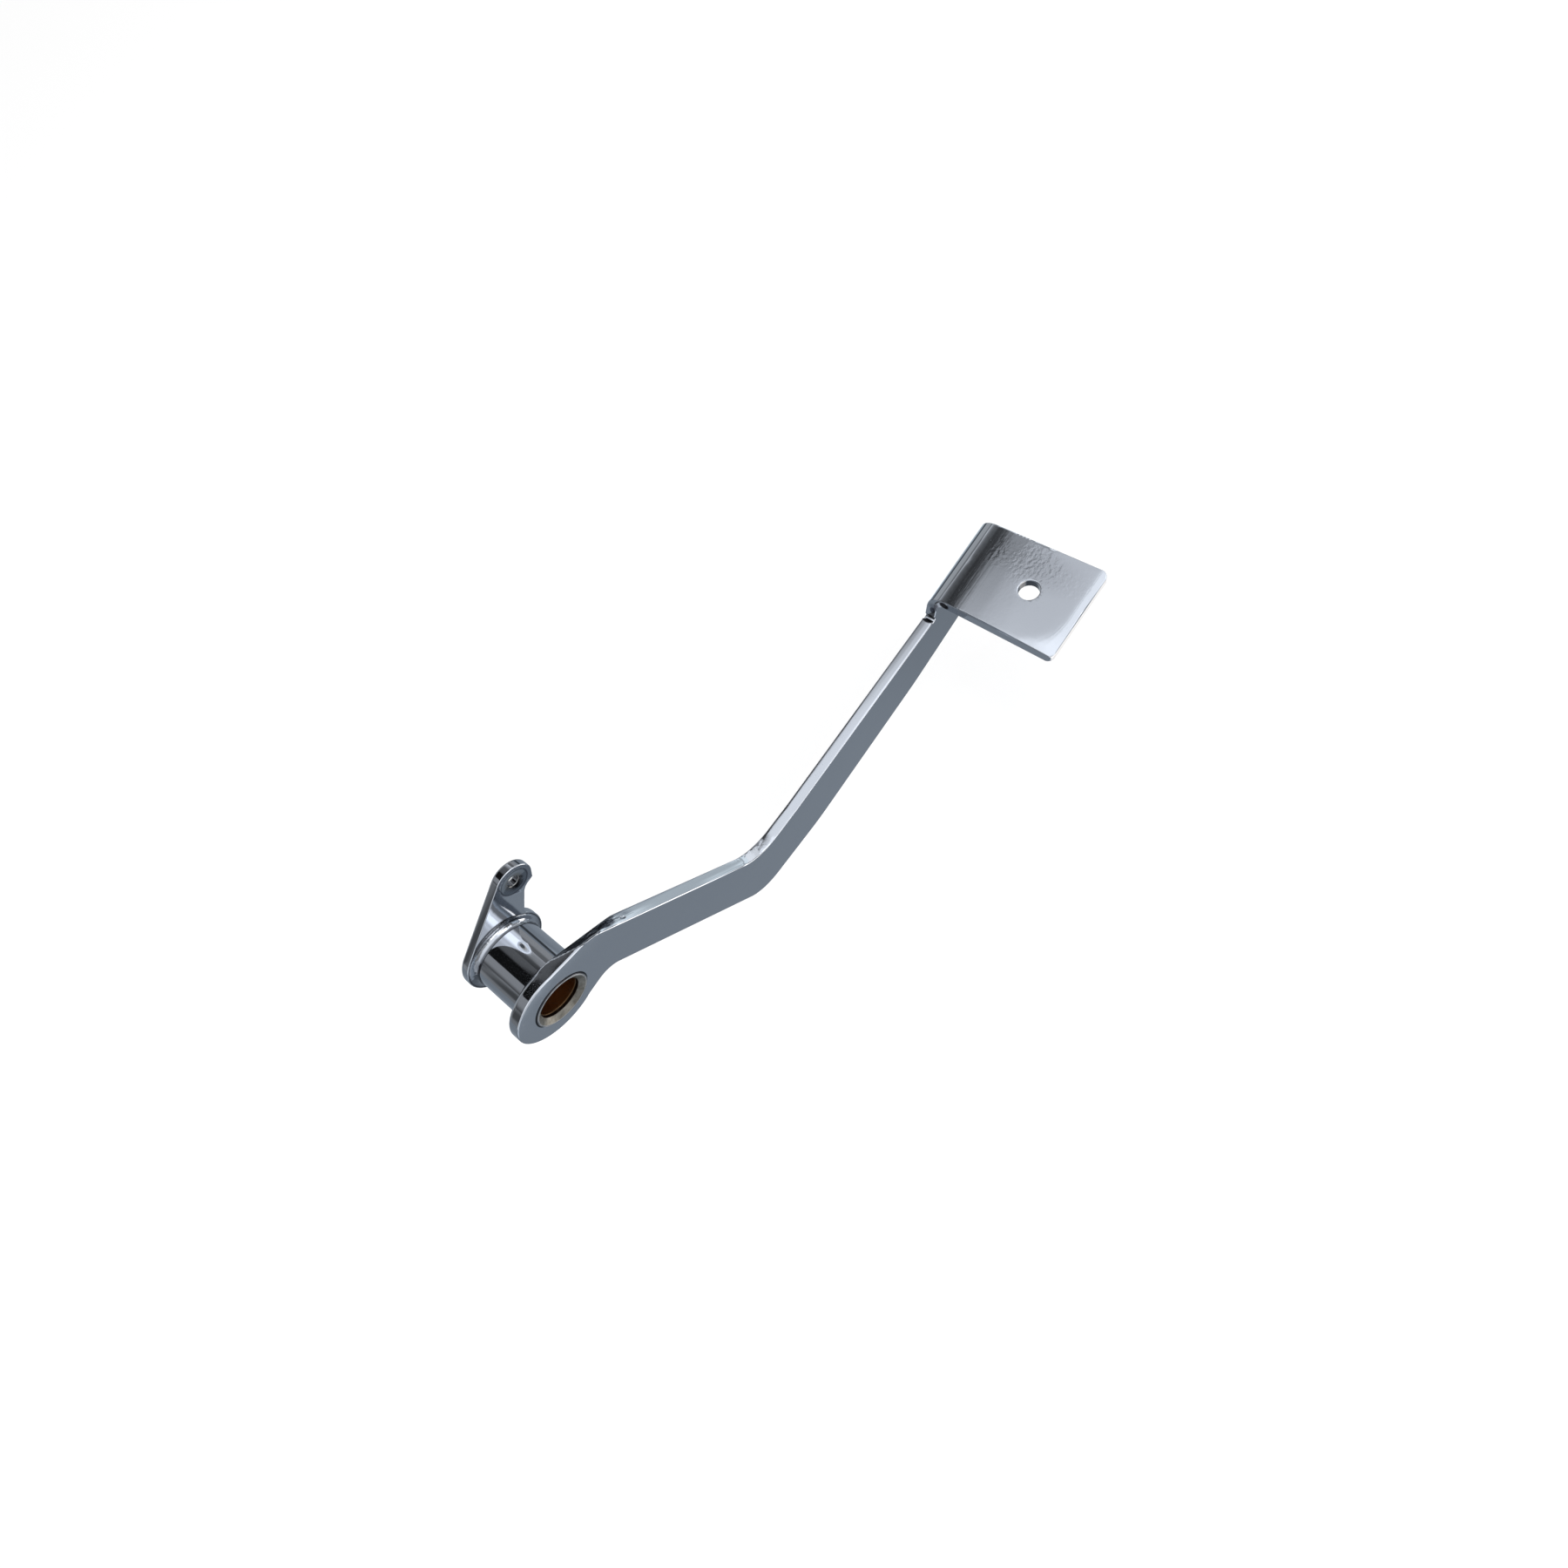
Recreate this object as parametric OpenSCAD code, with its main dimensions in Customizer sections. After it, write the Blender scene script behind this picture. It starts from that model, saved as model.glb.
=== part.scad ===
// Rear brake pedal, laid out as fitted on the right-hand side of a motorbike.
// Millimetres. Y is the pivot axis and -Y is outboard, +X is forward, +Z is up.
// The origin is on the pivot axis, halfway along the hub. The foot plate is level.

/* [Plate] */

// thickness of the steel plate the pedal arm is cut from
plate_t = 6.2; // [4:0.05:8]
// rounding of the arm's outline at the shoulder above the hub
shoulder_r = 12; // [6:1:20]
// rounding inside the knee, on its upper edge
knee_in_r = 30; // [10:1:40]
// rounding outside the knee, on its lower edge
knee_out_r = 27; // [8:1:35]
// rounding where the hub eye runs into the leg's lower edge
neck_r = 11; // [6:1:16]
// forward distance from the pivot to the shoulder, before rounding
shoulder_x = 29.4; // [27:0.2:33]
// height of the shoulder above the pivot, before rounding
shoulder_z = 12.4; // [9:0.2:15]
// depth of the slanted relief on the shoulder's inboard edge
shoulder_cut = 5.4; // [1:0.2:7]
// forward distance from the pivot to the neck, before rounding
neck_x = 18.3; // [17:0.1:22]

/* [Hub] */

// radius of the eye around the pivot
eye_r = 21.3; // [21:0.1:26]
// how far the eye's centre sits behind the pivot
eye_back = 0.9; // [0:0.1:1.2]
// how far the eye's centre sits above the pivot
eye_up = 1.2; // [0:0.1:1.6]
// length of the pivot tube between the two plates
tube_len = 28.7; // [24:0.1:60]
// outside diameter of the pivot tube
tube_od = 31.75; // [29:0.05:32]
// size of the weld fillets round the tube
weld_leg = 3.2; // [1.5:0.1:3.4]

/* [Bushings] */

// diameter of the running bore for the pivot shaft
bore_d = 19.2; // [16:0.05:20.5]
// outside diameter of each bushing
bush_od = 27; // [24.5:0.05:27.5]
// length of each bushing
bush_len = 16; // [11:0.5:18]
// how far a bushing stands out of its plate
bush_proud = 0.6; // [0.1:0.1:1.5]
// depth of the wider stretch at each bushing's mouth
mouth_depth = 3.2; // [2:0.1:5]
// radial gap between a bushing and the bore it is pressed in
bush_gap = 0.01; // [0:0.01:0.05]

/* [Leg] */

// forward distance from the pivot to the knee, on the upper edge
knee_x = 93.5; // [80:0.5:110]
// depth of the knee below the pivot, on the upper edge
knee_drop = 97.8; // [85:0.5:115]
// height of the plate at the knee
knee_h = 40.4; // [30:0.5:45]
// drop of the upper edge from the knee to the foot plate's notch
reach_fall = 9.2; // [4:0.1:14]
// height of the plate just behind the foot plate
toe_h = 34.8; // [26:0.5:40]

/* [Foot plate] */

// forward distance from the pivot to the rear edge of the foot plate
pad_x = 260.4; // [240:0.2:280]
// length of the foot plate, front to back
pad_len = 52.2; // [45:0.2:65]
// how much longer the foot plate is at its outboard edge
pad_flare = 1.6; // [0:0.1:4]
// width of the foot plate, from the arm's inboard face to its outboard edge
pad_w = 75.5; // [60:0.2:90]
// height of the foot plate's top above the arm's upper edge behind it
pad_rise = 17.4; // [15:0.2:30]
// outside radius of the bend
bend_r = 12; // [9:0.2:14]
// rounding of the foot plate's corners
pad_corner_r = 4; // [2:0.5:10]
// diameter of the rubber's bolt hole
pad_hole_d = 11.2; // [8:0.1:13]
// distance of the bolt hole from the outboard edge
pad_hole_in = 30; // [20:0.5:40]
// distance of the bolt hole from the foot plate's rear edge
pad_hole_fwd = 26.8; // [20:0.2:32]
// how far the bend's rear edge leans back towards its lower end
rear_lean = 2.4; // [0.5:0.1:4]
// radius of the relief notch behind the bend
notch_r = 1.5; // [1:0.1:2]

/* [Lever] */

// thickness of the push rod lever
lever_t = 4.3; // [4:0.1:8]
// radius of the lever's round end about the pivot
lever_eye_r = 19.5; // [19.3:0.1:24]
// forward distance from the pivot to the push rod hole
rod_x = 29.8; // [26:0.2:36]
// height of the push rod hole above the pivot
rod_z = 26.6; // [24:0.2:34]
// radius of the lever's free end
lever_tip_r = 8.8; // [7.6:0.2:10]
// diameter of the push rod hole
rod_hole_d = 5.2; // [4:0.1:8]
// diameter of the shallow dish round the push rod hole
rod_sink_d = 13; // [9:0.2:15]
// depth of that dish
rod_sink_t = 0.8; // [0.4:0.1:1.5]

/* [Hidden] */

hub_len = plate_t + tube_len + lever_t;
arm_y = -hub_len / 2;
lever_y = hub_len / 2 - lever_t;
bush_r = bush_od / 2;
seat_r = bush_r + bush_gap;
tube_r = tube_od / 2;
bore_r = bore_d / 2;
bend_in_r = bend_r - plate_t;
notch_z = -knee_drop - reach_fall;
pad_z = notch_z + pad_rise;
bend_z = pad_z - bend_r;
pad_end_x = pad_x + pad_len;
fold_y = arm_y + plate_t - bend_r;
pad_out_y = arm_y + plate_t - pad_w;
lean_x = pad_x - rear_lean;
rim_x = pad_x - rear_lean * 0.3;
notch_x = lean_x - 2.8;
steel = [0.78, 0.80, 0.83];
bronze = [0.62, 0.45, 0.26];

// points along the arc that rounds corner b of the path a-b-c with radius r
function corner(a, b, c, r, n = 12) =
    let (
        u = (a - b) / norm(a - b),
        v = (c - b) / norm(c - b),
        half = acos(max(-1, min(1, u * v))) / 2,
        reach = r / tan(half),
        bis = (u + v) / norm(u + v),
        mid = b + bis * r / sin(half),
        s = b + u * reach - mid,
        e = b + v * reach - mid,
        turn = s[0] * e[1] - s[1] * e[0],
        sweep = (turn > 0 ? 1 : -1) * (180 - 2 * half)
    )
    [for (i = [0:n]) let (w = sweep * i / n) mid + [s[0] * cos(w) - s[1] * sin(w), s[0] * sin(w) + s[1] * cos(w)]];

// closed outline from rows of [x, z, radius]; a radius of 0 keeps a corner sharp
function rounded(rows) =
    [for (i = [0:len(rows) - 1])
        let (
            k = len(rows),
            p = rows[(i + k - 1) % k],
            q = rows[i],
            s = rows[(i + 1) % k],
            a = [p[0], p[1]],
            b = [q[0], q[1]],
            c = [s[0], s[1]]
        )
        each (q[2] > 0 ? corner(a, b, c, q[2]) : [b])];

// lays a flat XZ outline down as a plate from y0, t thick towards +Y
module plate_xz(y0, t) {
    translate([0, y0 + t, 0])
    rotate([90, 0, 0])
    linear_extrude(height = t)
    children();
}

// a round body about the pivot axis, from y0, l long
module on_axis(y0, l, r) {
    translate([0, y0, 0])
    rotate([-90, 0, 0])
    cylinder(h = l, r = r, $fn = 96);
}

// side view of the flat arm, from the eye to the front end
module arm_outline() {
    eye = [-eye_back, eye_up];
    union() {
        translate(eye)
        circle(r = eye_r, $fn = 120);
        polygon(rounded([
            [eye[0], eye[1] + eye_r - 0.3, 0],
            [eye[0] + eye_r * 0.37, eye[1] + eye_r * 0.92, 0],
            [shoulder_x, shoulder_z, shoulder_r],
            [knee_x, -knee_drop, knee_in_r],
            [knee_x + 32, -knee_drop - 3.6, 90],
            [notch_x - notch_r * 3, notch_z, 0],
            [notch_x, notch_z, 0],
            [lean_x - 2, notch_z + 1.2, 0],
            [lean_x, bend_z, 0],
            [pad_end_x, bend_z, 0],
            [pad_end_x, notch_z - toe_h * 0.8, 12],
            [pad_x - 30, notch_z - toe_h - 1, 120],
            [knee_x + 38, -knee_drop - knee_h - 4.6, 120],
            [knee_x - 13.5, -knee_drop - knee_h + 3, knee_out_r],
            [neck_x, eye[1] - eye_r + 0.7, neck_r],
            [eye[0], eye[1] - eye_r + 0.7, 0]
        ]));
    }
}

// wedge that slants the shoulder away towards the inboard face
module shoulder_relief() {
    lean = atan2(0.76, 0.65);
    edge = shoulder_x * cos(lean) + shoulder_z * sin(lean) - shoulder_r * 0.08;
    rotate([0, -lean, 0])
    linear_extrude(height = 80, center = true)
    polygon([
        [edge, arm_y - 0.1],
        [edge + 20, arm_y - 0.1],
        [edge + 20, arm_y + plate_t + 0.1],
        [edge - shoulder_cut, arm_y + plate_t + 0.1]
    ]);
}

// what the leaning rear edge takes off the bend and the foot plate
module rear_slope() {
    plate_xz(pad_out_y - 1, pad_w + 2)
    polygon([
        [pad_x - 20, bend_z],
        [lean_x, bend_z],
        [rim_x, pad_z - plate_t],
        [pad_x, pad_z],
        [pad_x, pad_z + 1],
        [pad_x - 20, pad_z + 1]
    ]);
}

module pedal_arm() {
    color(steel)
    difference() {
        union() {
            plate_xz(arm_y, plate_t)
            arm_outline();
            translate([lean_x, fold_y, bend_z])
            rotate([90, 0, 90])
            rotate_extrude(angle = 90, $fn = 96)
            translate([bend_in_r, 0])
            square([plate_t, pad_end_x - lean_x]);
            translate([0, 0, pad_z - plate_t])
            linear_extrude(height = plate_t)
            polygon(rounded([
                [rim_x, fold_y, 0],
                [rim_x, pad_out_y, pad_corner_r],
                [pad_end_x + pad_flare, pad_out_y, pad_corner_r],
                [pad_end_x, fold_y, 0]
            ]));
        }
        on_axis(arm_y - 1, plate_t + 2, seat_r);
        shoulder_relief();
        rear_slope();
        translate([notch_x, arm_y - 1, notch_z])
        rotate([-90, 0, 0])
        cylinder(h = plate_t + 2, r = notch_r, $fn = 48);
        translate([pad_x + pad_hole_fwd, pad_out_y + pad_hole_in, pad_z - plate_t - 1])
        cylinder(h = plate_t + 2, d = pad_hole_d, $fn = 64);
    }
}

module pivot_tube() {
    color(steel)
    difference() {
        on_axis(arm_y + plate_t, tube_len, tube_r);
        on_axis(arm_y + plate_t - 1, tube_len + 2, seat_r);
    }
}

// side view of the push rod lever: a round end, a bite on its lower side and a round tip
module lever_outline() {
    difference() {
        hull() {
            circle(r = lever_eye_r, $fn = 120);
            translate([rod_x, rod_z])
            circle(r = lever_tip_r, $fn = 64);
        }
        polygon(rounded([
            [rod_x + lever_tip_r * 1.8, rod_z - lever_tip_r * 0.98, 0],
            [rod_x - lever_tip_r * 0.06, rod_z - lever_tip_r * 0.98, 6],
            [lever_eye_r * 0.95, lever_eye_r * 0.3, 0],
            [lever_eye_r * 0.8, -lever_eye_r, 0],
            [rod_x + lever_tip_r * 1.8, -lever_eye_r, 0]
        ]));
    }
    circle(r = lever_eye_r, $fn = 120);
}

module push_rod_lever() {
    color(steel)
    difference() {
        plate_xz(lever_y, lever_t)
        lever_outline();
        on_axis(lever_y - 1, lever_t + 2, seat_r);
        translate([rod_x, lever_y - 1, rod_z])
        rotate([-90, 0, 0])
        cylinder(h = lever_t + 2, d = rod_hole_d, $fn = 48);
        translate([rod_x, lever_y, rod_z])
        rotate([-90, 0, 0])
        cylinder(h = rod_sink_t, r1 = rod_sink_d / 2, r2 = rod_hole_d / 2, $fn = 48);
    }
}

// a bushing standing on the XY plane with its mouth down
module bushing() {
    mouth_r = bore_r + 0.35;
    chamfer = (bush_r - bore_r) * 0.38;
    rotate_extrude($fn = 96)
    polygon([
        [bush_r - 0.5, 0],
        [bush_r, 0.5],
        [bush_r, bush_len],
        [bore_r, bush_len],
        [bore_r, mouth_depth + 0.3],
        [mouth_r, mouth_depth],
        [mouth_r, chamfer * 0.8],
        [mouth_r + chamfer, 0]
    ]);
}

module outer_bushing() {
    color(bronze)
    translate([0, arm_y - bush_proud, 0])
    rotate([-90, 0, 0])
    bushing();
}

module inner_bushing() {
    color(bronze)
    translate([0, hub_len / 2 + bush_proud, 0])
    rotate([90, 0, 0])
    bushing();
}

// a ring with a hollow face, standing on the XY plane round the tube
module fillet_ring() {
    rotate_extrude($fn = 96)
    polygon(concat(
        [[tube_r, 0]],
        [for (i = [0:10]) let (w = 9 * i) [tube_r + weld_leg * (1 - sin(w)) + 0.15 * cos(w), weld_leg * (1 - cos(w))]]
    ));
}

module arm_weld() {
    color(steel)
    translate([0, arm_y + plate_t, 0])
    rotate([-90, 0, 0])
    fillet_ring();
}

module lever_weld() {
    color(steel)
    translate([0, lever_y, 0])
    rotate([90, 0, 0])
    fillet_ring();
}

pedal_arm();
pivot_tube();
push_rod_lever();
outer_bushing();
inner_bushing();
arm_weld();
lever_weld();
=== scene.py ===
"""Looks of a chrome-plated rear brake pedal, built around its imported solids.

Metres, in the solids' own frame: Y is the pivot axis, -Y outboard, +X forward, +Z up.
"""

from __future__ import annotations

import logging
import math
from dataclasses import dataclass
from enum import Enum
from typing import Callable, Iterable, Sequence

import bmesh
import bpy
from mathutils import Matrix, Vector


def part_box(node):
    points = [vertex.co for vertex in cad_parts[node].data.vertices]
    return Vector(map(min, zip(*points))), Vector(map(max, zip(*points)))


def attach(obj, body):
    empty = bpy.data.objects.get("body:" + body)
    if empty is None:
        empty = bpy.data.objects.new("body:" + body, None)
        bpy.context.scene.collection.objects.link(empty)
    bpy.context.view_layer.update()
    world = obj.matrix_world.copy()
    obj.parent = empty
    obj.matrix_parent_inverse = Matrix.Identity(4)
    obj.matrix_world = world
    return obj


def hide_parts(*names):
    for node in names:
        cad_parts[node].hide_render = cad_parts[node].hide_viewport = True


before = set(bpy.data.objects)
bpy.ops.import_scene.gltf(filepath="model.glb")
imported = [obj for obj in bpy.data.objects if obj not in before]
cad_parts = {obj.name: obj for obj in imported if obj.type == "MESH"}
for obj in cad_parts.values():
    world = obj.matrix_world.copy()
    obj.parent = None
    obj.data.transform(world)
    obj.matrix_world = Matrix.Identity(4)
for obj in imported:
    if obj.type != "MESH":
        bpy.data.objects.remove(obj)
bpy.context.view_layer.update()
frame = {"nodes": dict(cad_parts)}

LOG = logging.getLogger("pedal")
MM = 0.001
Colour = tuple[float, float, float]
Point = tuple[float, float, float]
Profile = Sequence[tuple[float, float]]
Band = tuple[float, float]

FORWARD = Vector((1, 0, 0))
INBOARD = Vector((0, 1, 0))
SHARP = math.radians(32)
FLAT = 0.97
DARK_LINE: Colour = (0.05, 0.055, 0.065)
# Painted shade: a dull black that stands in for the shade in a hole or corner.
PAINTED_SHADE_BLACK = {"Base Color": (0.004, 0.004, 0.005, 1.0), "Roughness": 1.0, "Specular IOR Level": 0.0}


# Node trees


@dataclass(frozen=True)
class Spot:
    """A soft ellipsoid, in metres, where a surface differs from the rest."""

    middle: Point
    reach: Point


@dataclass(frozen=True)
class ShadeSpot(Spot):
    """A spot where a dark shade or reflection is painted over."""

    share: float
    paint: Colour


class Val:
    """A socket's value in a node tree, which takes part in Python arithmetic."""

    def __init__(self, graph: Graph, socket: bpy.types.NodeSocket | None) -> None:
        """Wraps an output.

        Args:
            graph: the tree's wrapper.
            socket: the output that carries the value, or None for a node that has no output.
        """
        self.graph = graph
        self.socket = socket

    def __add__(self, other: Term) -> Val:
        """Sum."""
        return self.graph.math("ADD", self, other)

    def __radd__(self, other: Term) -> Val:
        """Sum, reflected."""
        return self.graph.math("ADD", other, self)

    def __sub__(self, other: Term) -> Val:
        """Difference."""
        return self.graph.math("SUBTRACT", self, other)

    def __rsub__(self, other: Term) -> Val:
        """Difference, reflected."""
        return self.graph.math("SUBTRACT", other, self)

    def __mul__(self, other: Term) -> Val:
        """Product."""
        return self.graph.math("MULTIPLY", self, other)

    def __rmul__(self, other: Term) -> Val:
        """Product, reflected."""
        return self.graph.math("MULTIPLY", other, self)

    def sin(self) -> Val:
        """Sine of an angle in radians."""
        return self.graph.math("SINE", self)

    def cos(self) -> Val:
        """Cosine of an angle in radians."""
        return self.graph.math("COSINE", self)

    def mm(self) -> Val:
        """A length in millimetres instead of metres."""
        return self * 1000

    def above(self, limit: Term) -> Val:
        """1 where the value is over the limit, else 0."""
        return self.graph.math("GREATER_THAN", self, limit)

    def hypot(self, other: Val) -> Val:
        """Distance that this offset and another at right angles to it make."""
        return self.graph.math("SQRT", self * self + other * other)

    def smooth(self, low: Term, high: Term) -> Val:
        """Smooth step up.

        Args:
            low: the value that gives 0.
            high: the value that gives 1.
        Returns:
            0 to 1, eased at both ends.
        """
        limits = {0: self, 1: low, 2: high, 3: 0.0, 4: 1.0}
        return self.graph.node("ShaderNodeMapRange", {"interpolation_type": "SMOOTHSTEP"}, limits)

    def fall(self, low: Term, high: Term) -> Val:
        """Smooth step down, from 1 at low to 0 at high."""
        return 1 - self.smooth(low, high)

    def line(self, middle: float, core: float, fade: float) -> Val:
        """A soft line.

        Args:
            middle: the value at the line's middle.
            core: how far from the middle it is still 1.
            fade: how far from the middle it is 0.
        Returns:
            1 on the line, 0 off it.
        """
        return self.graph.math("ABSOLUTE", self - middle).fall(core, fade)


Term = Val | float
# Look: a finish's colour, height and painted shade. Glow: a card's colour and brightness.
Look = tuple[Val, Val, Val | None]
Glow = tuple[Val | Colour, Val]


class Graph:
    """A node tree that is filled from Python expressions."""

    def __init__(self, tree: bpy.types.NodeTree) -> None:
        """Wraps a tree.

        Args:
            tree: the shader or geometry tree to fill.
        """
        self.tree = tree

    def node(
        self, kind: str, settings: dict | None = None, inputs: dict | None = None, out: int | str = 0
    ) -> Val:
        """Adds a node.

        Args:
            kind: the node's type name.
            settings: its properties, set first.
            inputs: values or links by socket index or name.
            out: index or name of the output to hand back.
        Returns:
            That output, ready for arithmetic.
        """
        made = self.tree.nodes.new(kind)
        for key, value in (settings or {}).items():
            setattr(made, key, value)
        for key, value in (inputs or {}).items():
            self._feed(made.inputs[key], value)
        return Val(self, made.outputs[out] if made.outputs else None)

    def _feed(self, socket: bpy.types.NodeSocket, value: object) -> None:
        """Links a value to a socket, or sets the socket's own value.

        Args:
            socket: the input to feed.
            value: a Val, a number, a tuple or a data block.
        """
        if isinstance(value, Val):
            self.tree.links.new(value.socket, socket)
        else:
            socket.default_value = value

    def math(self, operation: str, *values: Term) -> Val:
        """Adds one Math node.

        Args:
            operation: the node's operation.
            values: its inputs, in order.
        Returns:
            The node's result.
        """
        return self.node("ShaderNodeMath", {"operation": operation}, dict(enumerate(values)))

    def axes(self, vector: Val) -> tuple[Val, Val, Val]:
        """Takes a vector apart.

        Args:
            vector: the vector.
        Returns:
            Its X, Y and Z.
        """
        parts = self.node("ShaderNodeSeparateXYZ", None, {0: vector}).socket.node.outputs
        return Val(self, parts[0]), Val(self, parts[1]), Val(self, parts[2])

    def place(self) -> Val:
        """Object coordinates, in metres."""
        return self.node("ShaderNodeTexCoord", out="Object")

    def scaled(self, scale: Point, shift: Point = (0.0, 0.0, 0.0)) -> Val:
        """Object coordinates, scaled and then shifted.

        Args:
            scale: factor along each axis.
            shift: what is then added.
        Returns:
            The new coordinates.
        """
        inputs = {"Vector": self.place(), "Scale": scale, "Location": shift}
        return self.node("ShaderNodeMapping", {"vector_type": "POINT"}, inputs)

    def noise(self, size: float, detail: float = 2.0, stretch: Point = (1.0, 1.0, 1.0)) -> Val:
        """Noise about the mean 0.5.

        Args:
            size: size of its features in metres.
            detail: octaves.
            stretch: how much longer the features are along X, Y and Z.
        Returns:
            The noise value, 0 to 1.
        """
        at = self.scaled(tuple(1.0 / (size * s) for s in stretch))
        return self.node("ShaderNodeTexNoise", None, {"Vector": at, "Scale": 1.0, "Detail": detail}, "Fac")

    def specks(self, size: float, radius: float) -> Val:
        """Round specks.

        Args:
            size: distance between specks in metres.
            radius: a speck's radius as a share of that distance.
        Returns:
            1 inside a speck, 0 outside.
        """
        inputs = {"Vector": self.place(), "Scale": 1.0 / size}
        return self.node("ShaderNodeTexVoronoi", None, inputs, "Distance").fall(radius * 0.4, radius)

    def blob(self, spot: Spot) -> Val:
        """A soft ellipsoid.

        Args:
            spot: where it is.
        Returns:
            1 about its middle, easing to 0 at its surface.
        """
        at = self.scaled(
            tuple(1.0 / r for r in spot.reach), tuple(-m / r for m, r in zip(spot.middle, spot.reach))
        )
        return self.node("ShaderNodeVectorMath", {"operation": "LENGTH"}, {0: at}, "Value").fall(0.15, 1.0)

    def mix(self, share: Val, low: Val | Colour, high: Val | Colour) -> Val:
        """A colour between two.

        Args:
            share: 0 gives low, 1 gives high.
            low: first colour.
            high: second colour.
        Returns:
            The mixed colour.
        """
        low, high = ((*c, 1.0) if isinstance(c, tuple) else c for c in (low, high))
        return self.node("ShaderNodeMix", {"data_type": "RGBA"}, {0: share, 6: low, 7: high}, 2)


def blank_material(name: str) -> tuple[bpy.types.Material, Graph]:
    """Makes a material with an empty tree.

    Args:
        name: the material's name.
    Returns:
        The material and its tree's wrapper.
    """
    material = bpy.data.materials.new(name)
    material.use_nodes = True
    material.node_tree.nodes.clear()
    return material, Graph(material.node_tree)


def surface(name: str, fill: Callable[[Graph], dict]) -> bpy.types.Material:
    """Makes a material with a Principled shader.

    Args:
        name: the material's name.
        fill: builds the pattern and returns the shader's inputs; "height" is a surface height in metres
            and "painted_shade" is where a dull black painted shade hides the surface.
    Returns:
        The material.
    """
    material, graph = blank_material(name)
    inputs = fill(graph)
    height = inputs.pop("height", None)
    painted_shade = inputs.pop("painted_shade", None)
    if height is not None:
        bump = {"Strength": 1.0, "Distance": 1.0, "Height": height}
        inputs["Normal"] = graph.node("ShaderNodeBump", None, bump, "Normal")
    shader = graph.node("ShaderNodeBsdfPrincipled", None, inputs)
    if painted_shade is not None:
        black = graph.node("ShaderNodeBsdfPrincipled", None, PAINTED_SHADE_BLACK)
        shader = graph.node("ShaderNodeMixShader", None, {0: painted_shade, 1: shader, 2: black})
    graph.node("ShaderNodeOutputMaterial", None, {"Surface": shader})
    return material


# Finishes


@dataclass(frozen=True)
class ChromePlate:
    """Polished chrome plate: slow ripple, polishing grain, tiny pits and a little haze."""

    name: str
    tint: Colour = (0.54, 0.555, 0.585)
    rough: float = 0.05
    swell: float = 0.016 * MM
    swell_size: float = 9 * MM
    grain_size: float = 0.5 * MM
    haze_size: float = 22 * MM
    pits: float = 0.45
    pit_spacing: float = 1.7 * MM
    pitted_size: float = 6 * MM

    def make(self) -> bpy.types.Material:
        """The finish as a material."""
        return surface(self.name, self._fill)

    def _fill(self, g: Graph) -> dict:
        """Builds the pattern.

        Args:
            g: the material's tree.
        Returns:
            The shader's inputs, with height and painted shade.
        """
        swell = g.noise(self.swell_size, 1.0)
        grain = g.noise(self.grain_size, 2.0, (9.0, 1.0, 9.0))
        haze = g.noise(self.haze_size, 3.0).smooth(0.45, 0.72)
        pitted = g.noise(self.pitted_size, 1.0).smooth(0.5, 0.62)
        pits = g.specks(self.pit_spacing, 0.1) * pitted * self.pits
        colour = g.mix(haze * 0.10, self.tint, tuple(0.84 * c for c in self.tint))
        colour = g.mix(pits * 0.75, colour, (0.07, 0.065, 0.06))
        rough = haze * 0.04 + grain * 0.03 + pits * 0.35 + self.rough
        height = swell * self.swell + grain * (0.0005 * MM) - pits * (0.03 * MM)
        colour, height, painted_shade = self._local(g, colour, height)
        return {"Base Color": colour, "Metallic": 1.0, "Roughness": rough, "height": height, "painted_shade": painted_shade}

    def _local(self, g: Graph, colour: Val, height: Val) -> Look:
        """Adds what only one piece shows.

        Args:
            g: the material's tree.
            colour: the plate's colour so far.
            height: the plate's height so far.
        Returns:
            Colour, height, and where a painted black shade hides the metal.
        """
        return colour, height, None


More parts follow.
